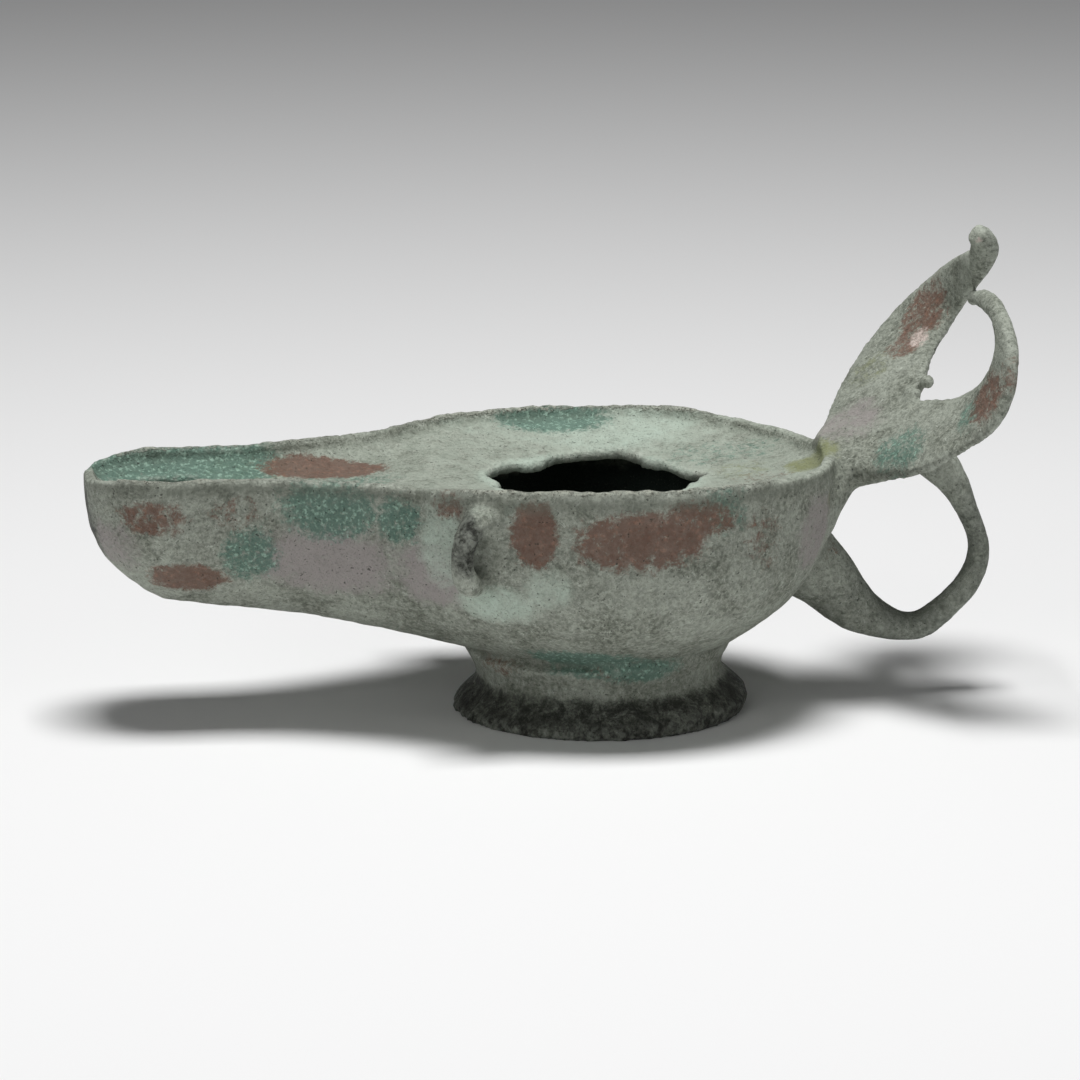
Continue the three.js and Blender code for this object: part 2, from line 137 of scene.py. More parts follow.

# Where the patina's areas, and some patches of painted shade, lie on the casting.
PATCHES: tuple[Patch, ...] = (
    Patch(Mask.RED, (-7.0, -33.8, 37.6), 6.0, 1.0, (0.9, 1, 1.3)),
    Patch(Mask.RED, (10.0, -36.5, 36.5), 9.0, 0.9, (1.8, 1, 0.8)),
    Patch(Mask.RED, (19.0, -35.5, 39.5), 7.0, 0.8, (1.6, 1, 0.7)),
    Patch(Mask.RED, (31.0, -30.0, 34.5), 7.0, 0.55, (1.0, 1, 1.2)),
    Patch(Mask.RED, (-68.0, -13.2, 37.5), 6.0, 0.75, (1.6, 1, 0.8)),
    Patch(Mask.RED, (-62.0, -10.9, 26.5), 6.0, 0.95, (1.6, 1, 0.7)),
    Patch(Mask.RED, (-54.0, -14.2, 38.0), 5.0, 0.55, (1.5, 1, 1.0)),
    Patch(Mask.RED, (-20.5, -28.0, 41.5), 5.0, 0.7, (0.8, 1, 0.9)),
    Patch(Mask.RED, (-13.5, -13.6, 10.5), 8.0, 0.6, (1.5, 1.5, 0.5)),
    Patch(Mask.RED, (2.0, -25.0, 11.0), 8.0, 0.5, (2.2, 1, 0.4)),
    Patch(Mask.RED, (-37.0, 10.5, 40.3), 7.5, 1.0, (2.0, 0.7, 1)),
    Patch(Mask.RED, (35.4, -5.0, 40.4), 8.0, 0.5, (1.2, 1, 1)),
    Patch(Mask.RED, (68.5, 20.0, 62.6), 8.0, 0.75, (0.9, 1, 1.3)),
    Patch(Mask.RED, (64.5, 17.0, 57.5), 6.0, 0.7),
    Patch(Mask.RED, (69.0, -24.0, 56.0), 7.0, 0.8),
    Patch(Mask.RED, (73.0, -28.0, 60.0), 5.0, 0.6),
    Patch(Mask.RED, (47.0, -6.0, 28.0), 6.0, 0.45),
    Patch(Mask.TEAL, (-51.5, -13.0, 31.0), 7.0, 0.7),
    Patch(Mask.TEAL, (-38.7, -17.5, 39.0), 9.0, 0.75, (1.4, 1, 0.8)),
    Patch(Mask.TEAL, (-27.7, -22.3, 38.0), 6.0, 0.7),
    Patch(Mask.TEAL, (-57.8, 11.5, 41.8), 10.0, 1.0, (1.8, 1, 1)),
    Patch(Mask.TEAL, (-73.6, 10.0, 40.6), 10.0, 0.9),
    Patch(Mask.TEAL, (-1.7, -25.2, 12.5), 9.0, 0.95, (2.2, 1, 0.45)),
    Patch(Mask.TEAL, (15.0, -24.9, 10.8), 8.0, 0.85, (1.8, 1, 0.45)),
    Patch(Mask.TEAL, (57.4, -12.7, 45.2), 8.0, 0.6),
    Patch(Mask.TEAL, (24.0, -34.0, 41.0), 7.0, 0.55),
    Patch(Mask.TEAL, (5.0, 33.5, 41.5), 7.0, 0.9, (2.0, 1, 1)),
    Patch(Mask.TEAL, (31.5, 13.5, 40.4), 9.0, 0.45, (2.0, 1, 1)),
    Patch(Mask.TEAL, (-36.0, 4.0, 40.0), 9.0, 0.5, (2.0, 1, 1)),
    Patch(Mask.TEAL, (69.0, -21.0, 52.0), 6.0, 0.6),
    Patch(Mask.MINT, (-21.5, -27.0, 34.0), 7.5, 0.95, (0.7, 1, 1.6)),
    Patch(Mask.MINT, (-13.0, -28.8, 25.0), 7.5, 1.0, (1.5, 1, 0.7)),
    Patch(Mask.MINT, (-4.5, -32.6, 28.5), 6.0, 0.85),
    Patch(Mask.MINT, (-9.0, -32.6, 41.0), 6.0, 0.5, (1, 1, 0.6)),
    Patch(Mask.MINT, (16.5, 27.9, 41.4), 12.0, 0.85, (2.0, 1, 1)),
    Patch(Mask.MINT, (-9.0, 30.0, 41.4), 8.0, 0.6, (2.0, 1, 1)),
    Patch(Mask.OLIVE, (44.2, -2.0, 42.5), 7.0, 1.0),
    Patch(Mask.OLIVE, (42.0, -12.0, 37.0), 6.0, 0.7),
    Patch(Mask.OLIVE, (33.0, 2.0, 40.4), 9.0, 0.6),
    Patch(Mask.OLIVE, (-49.5, 9.0, 40.4), 8.0, 0.6, (1.6, 1, 1)),
    Patch(Mask.OLIVE, (58.2, 16.5, 53.0), 8.0, 0.6),
    Patch(Mask.DARK, (-18.5, -33.8, 37.0), 6.5, 1.0, (0.7, 1, 1.5)),
    Patch(Mask.DARK, (-77.8, 0.0, 34.0), 8.0, 0.95, (1, 1.2, 1.5)),
    # Painted shade: the ring handle is darkened.
    Patch(Mask.RING_SHADE, (74.0, 0.0, 25.0), 14.0, 0.9, (0.8, 1, 1.3)),
    Patch(Mask.RING_SHADE, (62.0, 0.0, 12.5), 14.0, 0.85),
    Patch(Mask.RING_SHADE, (50.0, 0.0, 17.0), 10.0, 0.7),
    # Painted shade in the pit at the crescent's fork.
    Patch(Mask.DARK, (63.0, 2.5, 55.0), 1.9, 1.0),
    Patch(Mask.MAUVE, (-23.0, -23.8, 29.0), 9.0, 0.8),
    Patch(Mask.MAUVE, (-38.6, -16.0, 30.0), 11.0, 0.9, (1.6, 1, 0.8)),
    Patch(Mask.MAUVE, (-73.3, -7.6, 32.0), 7.0, 0.7),
    Patch(Mask.MAUVE, (42.0, -18.0, 33.0), 9.0, 0.8),
    Patch(Mask.MAUVE, (52.0, 4.0, 47.0), 9.0, 0.7),
    Patch(Mask.PALE, (66.6, 16.0, 58.6), 3.6, 1.0, (0.8, 1, 1.6)),
    Patch(Mask.PALE, (73.2, 1.2, 77.4), 2.6, 1.0),
    # Painted shade under the bent tip of the far horn.
    Patch(Mask.DARK, (74.4, 1.8, 73.6), 2.6, 0.9, (0.8, 1, 1.4)),
    Patch(Mask.CRUST, (58.2, -17.0, 41.5), 8.0, 0.8, (1.6, 1.6, 0.5)),
    Patch(Mask.CRUST, (68.3, -28.0, 50.0), 6.0, 0.8),
)


def bell(span: float, centre: float, values: np.ndarray) -> np.ndarray:
    """Bell-shaped fall-off to both sides of a centre.

    Args:
        span: how far from the centre it has fallen to about a third.
        centre: where it peaks.
        values: the values that it falls off over.

    Returns:
        Factors from 0 to 1.
    """
    return np.exp(-(((values - centre) / span) ** 2))


def ramp(low: float, high: float, values: np.ndarray) -> np.ndarray:
    """Smooth step from 0 at low to 1 at high."""
    t = np.clip((values - low) / (high - low), 0.0, 1.0)
    return t * t * (3.0 - 2.0 * t)


def grain(points: np.ndarray, size: float, seed: float, octaves: int = 3) -> np.ndarray:
    """Fractal noise at each point.

    Args:
        points: positions in millimetres.
        size: the width of its broadest lumps, in millimetres.
        seed: moves the pattern, so that two calls differ.
        octaves: how many finer layers it has.

    Returns:
        Values of about -1 to 1.
    """
    scale = 1.0 / size
    shift = Vector((seed * 17.3, seed * 5.1, seed * 11.7))
    found = (noise.fractal(Vector(p) * scale + shift, 1.0, 2.1, octaves) for p in points.tolist())
    return np.fromiter(found, float, len(points))


# A smoothing pass in and a slightly longer one out, which together keep the walls' thickness.
SHRINK = 0.52
SWELL = -0.54


@dataclass
class Skin:
    """A triangle mesh held as arrays while it is worked: points in millimetres and its edges."""

    points: np.ndarray
    edges: np.ndarray

    def __post_init__(self) -> None:
        """Counts each point's neighbours."""
        count = len(self.points)
        ends = np.concatenate([self.edges[:, 0], self.edges[:, 1]])
        self.valence = np.maximum(np.bincount(ends, minlength=count), 1)[:, None]

    def mean_of_neighbours(self, values: np.ndarray) -> np.ndarray:
        """The mean over each point's neighbours.

        Args:
            values: one row for each point.

        Returns:
            An array of the same shape.
        """
        total = np.zeros_like(values)
        a, b = self.edges[:, 0], self.edges[:, 1]
        for column in range(values.shape[1]):
            total[:, column] = np.bincount(a, values[b, column], len(values))
            total[:, column] += np.bincount(b, values[a, column], len(values))
        return total / self.valence

    def settle(self, rounds: int, keep: np.ndarray | None = None) -> None:
        """Smooths the points without shrinking the walls.

        Args:
            rounds: how many passes are made.
            keep: for each point, from 0 for free to 1 for held.
        """
        free = 1.0 if keep is None else (1.0 - keep)[:, None]
        for _ in range(rounds):
            for step in (SHRINK, SWELL):
                pull = self.mean_of_neighbours(self.points) - self.points
                self.points = self.points + free * step * pull

    def spread(self, values: np.ndarray, rounds: int) -> np.ndarray:
        """Blurs one value a point over the surface."""
        column = values[:, None]
        for _ in range(rounds):
            column = 0.5 * column + 0.5 * self.mean_of_neighbours(column)
        return column[:, 0]


@dataclass
class LampCasting:
    """The whole lamp in one casting. Lengths and heights are in millimetres.

    Args:
        voxel: size of the remeshed skin's faces.
        fillet_rounds: smoothing passes that round the joins off.
        rim_height: height of the bowl's rim.
        rim_drop: how far the rim falls from the bowl to the nozzle's tip.
        plate_low: a height just below the dished top.
        rim_wear: how far the rims are worn up and down.
        rim_grit: height of the rims' fine grain.
        hole_wear: height of the grain along the filling hole's broken edge.
        lump: height of the casting's broad lumps.
        skin: height of its finer unevenness.
        pitting: depth of its small pits.
        keel_lump: height of the lumps under the nozzle.
        triangles: the most triangles that the finished skin may have.
    """

    voxel: float = 0.62
    fillet_rounds: int = 14
    rim_height: float = 44.6
    rim_drop: float = 0.8
    plate_low: float = 35.0
    rim_wear: float = 0.45
    rim_grit: float = 0.22
    hole_wear: float = 0.35
    lump: float = 0.28
    skin: float = 0.12
    pitting: float = 0.30
    keel_lump: float = 0.30
    triangles: int = 192000
    axis_x: float = field(init=False)
    tip_x: float = field(init=False)

    def __post_init__(self) -> None:
        """Takes the foot's axis and the nozzle's tip from the frame."""
        low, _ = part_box(NODE)
        self.tip_x = low.x / MM
        self.axis_x = self.tip_x + TIP_TO_FOOT_AXIS

    def copy_of_solid(self) -> bpy.types.Object:
        """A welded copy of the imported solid, in metres."""
        bm = bmesh.new()
        bm.from_mesh(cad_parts[NODE].data)
        bmesh.ops.remove_doubles(bm, verts=bm.verts, dist=1e-6)
        self.add_curled_lip(bm)
        mesh = bpy.data.meshes.new("lamp")
        bm.to_mesh(mesh)
        bm.free()
        piece = bpy.data.objects.new("lamp", mesh)
        bpy.context.scene.collection.objects.link(piece)
        return piece

    def add_curled_lip(self, bm: bmesh.types.BMesh) -> None:
        """Adds the small curl of metal at the crescent's fork.

        Args:
            bm: the mesh that it is added to.
        """
        middle = Vector((self.axis_x + 54.8, 1.0, 52.6)) * MM
        turn = Matrix.Rotation(math.radians(-38), 4, "Y") @ Matrix.Rotation(math.radians(30), 4, "Z")
        rings = 12
        for i in range(rings):
            angle = math.radians(-60 + 260 * i / (rings - 1))
            offset = Vector((2.0 * math.cos(angle), 1.7 * math.sin(angle), 0.4)) * MM
            place = Matrix.Translation(middle + turn.to_3x3() @ offset)
            bmesh.ops.create_icosphere(bm, subdivisions=2, radius=1.15 * MM, matrix=place)

    def remeshed(self, piece: bpy.types.Object) -> bpy.types.Mesh:
        """The piece's mesh as one even skin of small faces."""
        remesh = piece.modifiers.new("skin", "REMESH")
        remesh.mode = "VOXEL"
        remesh.voxel_size = self.voxel * MM
        remesh.use_smooth_shade = True
        return self.applied(piece)

    def applied(self, piece: bpy.types.Object) -> bpy.types.Mesh:
        """Applies every modifier of a piece and returns its new mesh."""
        graph = bpy.context.evaluated_depsgraph_get()
        mesh = bpy.data.meshes.new_from_object(piece.evaluated_get(graph), depsgraph=graph)
        piece.modifiers.clear()
        old = piece.data
        piece.data = mesh
        mesh.name = "lamp"
        bpy.data.meshes.remove(old)
        return mesh

    def rim_mask(self, points: np.ndarray) -> np.ndarray:
        """How much each point belongs to the rim that runs round bowl and nozzle."""
        along = np.clip((self.axis_x - points[:, 0]) / TIP_TO_FOOT_AXIS, 0.0, 1.0)
        level = self.rim_height - self.rim_drop * along**2
        return bell(1.3, 0.0, points[:, 2] - level) * (1.0 - ramp(44.0, 50.0, points[:, 0]))

    def hole_edge_mask(self, points: np.ndarray) -> np.ndarray:
        """How much each point belongs to the broken edge of the filling hole."""
        reach = np.hypot(points[:, 0] - (self.axis_x - 1.5), points[:, 1] - 1.0)
        return bell(3.4, 16.6, reach) * ramp(self.plate_low - 2.0, self.plate_low, points[:, 2])

    def build(self) -> bpy.types.Object:
        """Makes the casting's mesh, with its relief and its masks.

        Returns:
            The finished piece, without its material.
        """
        piece = self.copy_of_solid()
        mesh = self.remeshed(piece)
        count = len(mesh.vertices)
        flat = np.zeros(count * 3)
        mesh.vertices.foreach_get("co", flat)
        ends = np.zeros(len(mesh.edges) * 2, int)
        mesh.edges.foreach_get("vertices", ends)
        skin = Skin(flat.reshape(-1, 3) / MM, ends.reshape(-1, 2))
        sole = 1.0 - ramp(0.15, 0.7, skin.points[:, 2])
        skin.settle(self.fillet_rounds, sole)
        self.write(mesh, skin.points)
        normals = self.normals(mesh)
        skin.points = skin.points + normals * self.relief(skin, sole)[:, None]
        low, high = (np.array(corner) / MM for corner in CAD_BOX)
        skin.points = np.clip(skin.points, low, high)
        self.write(mesh, skin.points)
        self.lay_masks(mesh, skin)
        return self.thinned(piece)

    def write(self, mesh: bpy.types.Mesh, points: np.ndarray) -> None:
        """Puts points in millimetres into a mesh."""
        mesh.vertices.foreach_set("co", (points * MM).ravel())
        mesh.update()

    def normals(self, mesh: bpy.types.Mesh) -> np.ndarray:
        """The mesh's normal at each point."""
        flat = np.zeros(len(mesh.vertices) * 3)
        mesh.vertex_normals.foreach_get("vector", flat)
        return flat.reshape(-1, 3)

    def relief(self, skin: Skin, sole: np.ndarray) -> np.ndarray:
        """How far each point is raised, in millimetres.

        Args:
            skin: the settled skin.
            sole: where the foot stands, which stays flat.

        Returns:
            One height for each point.
        """
        points = skin.points
        rim = self.rim_mask(points)
        edge = self.hole_edge_mask(points)
        height = self.lump * grain(points, 13.0, 1.0, 2)
        height += self.skin * grain(points, 4.2, 2.0, 3)
        pits = np.clip(-grain(points, 1.9, 3.0, 2) - 0.32, 0.0, 1.0)
        height -= self.pitting * pits
        height += rim * self.rim_wear * (0.9 * grain(points, 9.0, 4.0, 2) - 0.15)
        height += rim * self.rim_grit * grain(points, 2.1, 6.0, 3)
        height += edge * self.hole_wear * grain(points, 2.6, 5.0, 3)
        keel = ramp(-18.0, -30.0, points[:, 0]) * (1.0 - ramp(22.0, 27.0, points[:, 2]))
        height += keel * self.keel_lump * grain(points, 4.8, 7.0, 2)
        for pit in PITS:
            away = np.linalg.norm(points - np.array(pit.centre), axis=1)
            height -= pit.depth * bell(pit.reach, 0.0, away)
        return height * (1.0 - sole)

    def lay_masks(self, mesh: bpy.types.Mesh, skin: Skin) -> None:
        """Lays the patina's masks, painted shade among them, on the mesh as point attributes.

        Args:
            mesh: the finished mesh.
            skin: the same mesh as arrays.
        """
        points = skin.points
        normals = self.normals(mesh)
        bend = ((skin.mean_of_neighbours(points) - points) * normals).sum(axis=1) / self.voxel
        broad = skin.spread(bend, 6)
        masks = {mask: np.zeros(len(points)) for mask in Mask}
        for patch in PATCHES:
            away = (points - np.array(patch.centre)) / np.array(patch.stretch)
            reach = np.linalg.norm(away, axis=1) / patch.reach
            laid = patch.strength * (1.0 - ramp(0.35, 1.25, reach))
            masks[patch.mask] = np.maximum(masks[patch.mask], laid)
        sharpness = 9.0
        masks[Mask.EDGE] = np.clip(-broad * sharpness, 0.0, 1.0)
        # Painted shade: creases of the surface are darkened.
        masks[Mask.CREASE_SHADE] = np.clip(broad * sharpness, 0.0, 1.0)
        rim = self.rim_mask(points)
        edge = self.hole_edge_mask(points)
        masks[Mask.CRUST] = np.maximum(masks[Mask.CRUST], rim)
        masks[Mask.MINT] = np.maximum(masks[Mask.MINT], 0.9 * edge)
        height = points[:, 2]
        # The foot is painted near-black: partly its own dark metal, partly painted shade under the lamp.
        foot = 1.0 - ramp(5.0, 8.0, height)
        # Painted shadow: a dark band on the upright wall just under the rim's overhang.
        below = bell(1.2, 0.0, height - 42.3) * (1.0 - ramp(0.2, 0.5, np.abs(normals[:, 2])))
        masks[Mask.CREASE_SHADE] = np.maximum(masks[Mask.CREASE_SHADE], 0.85 * below)
        masks[Mask.DARK] = np.maximum(masks[Mask.DARK], foot)
        masks[Mask.INSIDE] = self.inside(mesh, points, normals)
        middle = bell(30.0, 12.0, points[:, 0])
        upwards = ramp(0.35, 0.8, normals[:, 2])
        on_plate = ramp(self.plate_low, self.plate_low + 2.5, height)
        masks[Mask.DUST] = upwards * on_plate * (0.25 + 0.75 * middle)
        masks[Mask.DUST] *= (1.0 - ramp(42.0, 50.0, points[:, 0])) * (1.0 - rim)
        for mask, values in masks.items():
            layer = mesh.attributes.new(mask.value, "FLOAT", "POINT")
            layer.data.foreach_set("value", values.astype(np.float32))

    def inside(self, mesh: bpy.types.Mesh, points: np.ndarray, normals: np.ndarray) -> np.ndarray:
        """How enclosed each point is.

        Args:
            mesh: the finished mesh.
            points: its points, in millimetres.
            normals: its normals.

        Returns:
            One value a point, from 0 in the open to 1 deep inside the vessel.
        """
        tree = BVHTree.FromPolygons([v.co for v in mesh.vertices], [p.vertices for p in mesh.polygons])
        directions = [
            Vector((math.cos(a) * math.cos(e), math.sin(a) * math.cos(e), math.sin(e)))
            for e in (0.15, 0.75)
            for a in (2.0 * math.pi * k / 6 + e for k in range(6))
        ]
        closed = np.zeros(len(points))
        clearance = 0.4
        span = 0.2
        starts = (points + normals * clearance) * MM
        for k, start in enumerate(starts.tolist()):
            origin = Vector(start)
            hits = sum(tree.ray_cast(origin, d, span)[0] is not None for d in directions)
            closed[k] = hits / len(directions)
        return closed

    def thinned(self, piece: bpy.types.Object) -> bpy.types.Object:
        """Thins the skin to its allowed number of triangles, most inside the vessel.

        Args:
            piece: the piece with its full skin.

        Returns:
            The same piece.
        """
        mesh = piece.data
        now = sum(len(p.vertices) - 2 for p in mesh.polygons)
        if now > self.triangles:
            closed = np.zeros(len(mesh.vertices), np.float32)
            mesh.attributes[Mask.INSIDE.value].data.foreach_get("value", closed)
            inner = closed > 0.8
            group = piece.vertex_groups.new(name="inner")
            group.add(np.nonzero(inner)[0].tolist(), 1.0, "REPLACE")
            inner_share = float(inner.mean())
            thin = piece.modifiers.new("thin", "DECIMATE")
            thin.vertex_group = "inner"
            thin.vertex_group_factor = 1.0
            thin.ratio = max(1.0 - (now - self.triangles) / now * 1.02, 1.0 - inner_share * 0.95)
            self.applied(piece)
            piece.vertex_groups.clear()
        return piece


@dataclass(frozen=True)
class PatinaColours:
    """Linear colours of the patina's layers and of its painted shade."""

    ground_dark: tuple[float, float, float] = (0.115, 0.128, 0.100)
    ground: tuple[float, float, float] = (0.310, 0.330, 0.275)
    ground_pale: tuple[float, float, float] = (0.560, 0.600, 0.520)
    mauve: tuple[float, float, float] = (0.330, 0.305, 0.290)
    red: tuple[float, float, float] = (0.150, 0.078, 0.056)
    red_bright: tuple[float, float, float] = (0.270, 0.135, 0.090)
    teal: tuple[float, float, float] = (0.095, 0.185, 0.145)
    teal_pale: tuple[float, float, float] = (0.320, 0.500, 0.400)
    mint: tuple[float, float, float] = (0.500, 0.600, 0.510)
    olive: tuple[float, float, float] = (0.245, 0.265, 0.140)
    dark: tuple[float, float, float] = (0.022, 0.023, 0.018)
    # Painted shade on the ring handle.
    ring_shade: tuple[float, float, float] = (0.105, 0.115, 0.096)
    crust: tuple[float, float, float] = (0.480, 0.500, 0.420)
    crust_pit: tuple[float, float, float] = (0.090, 0.085, 0.065)
    pale: tuple[float, float, float] = (0.640, 0.540, 0.490)
    dust: tuple[float, float, float] = (0.420, 0.475, 0.400)
    # Partly soot, partly painted shade deep inside the vessel.
    soot_and_shade: tuple[float, float, float] = (0.022, 0.034, 0.028)


class NodeSheet:
    """A small helper that lays out shader nodes and links them."""

    def __init__(self, tree: bpy.types.NodeTree) -> None:
        """Keeps the tree that it works on."""
        self.tree = tree

    def add(self, kind: str, **values: object) -> bpy.types.Node:
        """Adds a node and sets its properties.

        Args:
            kind: the node's type name.
            **values: properties of the node.

        Returns:
            The node.
        """
        node = self.tree.nodes.new(kind)
        for name, value in values.items():
            setattr(node, name, value)
        return node

    def link(self, source: bpy.types.NodeSocket, target: bpy.types.NodeSocket) -> None:
        """Joins two sockets."""
        self.tree.links.new(source, target)

    def noise(
        self,
        where: bpy.types.NodeSocket,
        scale: float,
        detail: float = 4.0,
        rough: float = 0.6,
        warp: float = 0.0,
    ) -> bpy.types.NodeSocket:
        """Fractal noise, about 0.5 in the mean.

        Args:
            where: position in millimetres.
            scale: lumps in a millimetre.
            detail: how many finer layers.
            rough: how strong they are.
            warp: how far the pattern is pulled about.

        Returns:
            The noise's value.
        """
        node = self.add("ShaderNodeTexNoise")
        self.link(where, node.inputs["Vector"])
        node.inputs["Scale"].default_value = scale
        node.inputs["Detail"].default_value = detail
        node.inputs["Roughness"].default_value = rough
        node.inputs["Distortion"].default_value = warp
        return node.outputs["Fac"]

    def band(self, value: bpy.types.NodeSocket, low: float, high: float) -> bpy.types.NodeSocket:
        """A smooth step of a value from 0 at low to 1 at high."""
        node = self.add("ShaderNodeMapRange", interpolation_type="SMOOTHSTEP")
        self.link(value, node.inputs["Value"])
        node.inputs["From Min"].default_value = low
        node.inputs["From Max"].default_value = high
        return node.outputs["Result"]

    def math(self, operation: str, a: object, b: object) -> bpy.types.NodeSocket:
        """A sum, product or other operation of two values or sockets."""
        node = self.add("ShaderNodeMath", operation=operation)
        for socket, value in zip(node.inputs, (a, b)):
            if isinstance(value, (int, float)):
                socket.default_value = value
            else:
                self.link(value, socket)
        return node.outputs["Value"]

    def mask(self, mask: Mask) -> bpy.types.NodeSocket:
        """One of the masks on the mesh."""
        return self.add("ShaderNodeAttribute", attribute_name=mask.value).outputs["Fac"]

    def mix(self, factor: object, a: object, b: object, blend: str = "MIX") -> bpy.types.NodeSocket:
        """A mix of two colours.

        Args:
            factor: share of the second colour, a value or a socket.
            a: the first colour or socket.
            b: the second colour or socket.
            blend: the way that they mix.

        Returns:
            The mixed colour.
        """
        node = self.add("ShaderNodeMix", data_type="RGBA", blend_type=blend)
        sockets = (node.inputs[0], node.inputs[6], node.inputs[7])
        for socket, value in zip(sockets, (factor, a, b)):
            if isinstance(value, bpy.types.NodeSocket):
                self.link(value, socket)
            elif isinstance(value, tuple):
                socket.default_value = (*value, 1.0)
            else:
                socket.default_value = value
        return node.outputs[2]


def broken_tint() -> bpy.types.ShaderNodeTree:
    """The shared effect that breaks a tint's mask up into ragged patches and flecks.

    Returns:
        A node group from position, mask and limits to a factor.
    """
    group = bpy.data.node_groups.new("broken_tint", "ShaderNodeTree")
    group.interface.new_socket("Position", in_out="INPUT", socket_type="NodeSocketVector")
    for name in ("Mask", "Scale", "Everywhere", "Low", "High"):
        group.interface.new_socket(name, in_out="INPUT", socket_type="NodeSocketFloat")
    group.interface.new_socket("Factor", in_out="OUTPUT", socket_type="NodeSocketFloat")
    sheet = NodeSheet(group)
    given = sheet.add("NodeGroupInput").outputs
    patches = sheet.noise(given["Position"], 1.0, 7.0, 0.74, 0.5)
    sheet.link(given["Scale"], patches.node.inputs["Scale"])
    flecks = sheet.noise(given["Position"], 2.3, 3.0, 0.7)
    share = 0.28
    ragged = sheet.math("MULTIPLY", patches, 1.0 - share)
    broken = sheet.math("ADD", ragged, sheet.math("MULTIPLY", flecks, share))
    lifted = sheet.math("ADD", sheet.math("MULTIPLY", given["Mask"], 0.5), given["Everywhere"])
    shown = sheet.add("ShaderNodeMapRange", interpolation_type="SMOOTHSTEP")
    sheet.link(sheet.math("ADD", broken, lifted), shown.inputs["Value"])
    sheet.link(given["Low"], shown.inputs["From Min"])
    sheet.link(given["High"], shown.inputs["From Max"])
    sheet.link(shown.outputs["Result"], sheet.add("NodeGroupOutput").inputs["Factor"])
    return group


